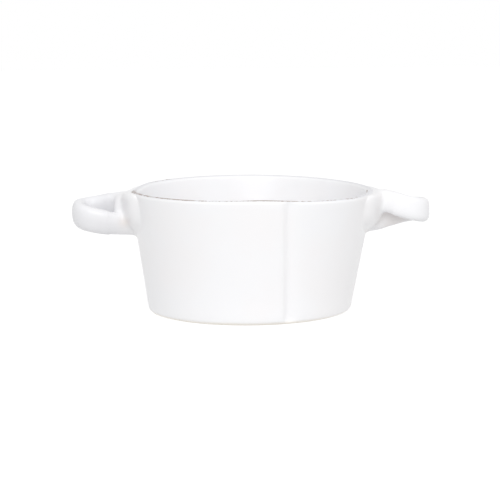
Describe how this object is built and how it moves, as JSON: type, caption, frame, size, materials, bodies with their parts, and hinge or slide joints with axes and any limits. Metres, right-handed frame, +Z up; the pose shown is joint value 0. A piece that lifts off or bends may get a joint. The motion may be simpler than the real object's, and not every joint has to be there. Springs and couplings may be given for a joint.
{
  "type": "handled bowl",
  "caption": "Hand-built white glazed stoneware bowl with straight flaring sides, a lapped wall seam and twisted strap handles under the rim.",
  "frame": {"origin": "middle of the box round rim and handles, on the surface that the bowl stands on", "axes": "+X through the right handle, +Y away from the wall's seam towards the back, +Z up out of the bowl"},
  "size_m": [0.218, 0.1492, 0.0754],
  "materials": {
    "white_glaze": "glossy white glaze, worn to the clay along the rim",
    "bare_clay": "bare tan stoneware under the foot"
  },
  "bodies": {
    "root": {"floor_slab": "bare_clay", "wall_slab": "white_glaze", "floor_coil": "white_glaze", "left_root_pad": "white_glaze", "left_handle_strap": "white_glaze", "right_root_pad": "white_glaze", "right_handle_strap": "white_glaze"}
  },
  "joints": []
}
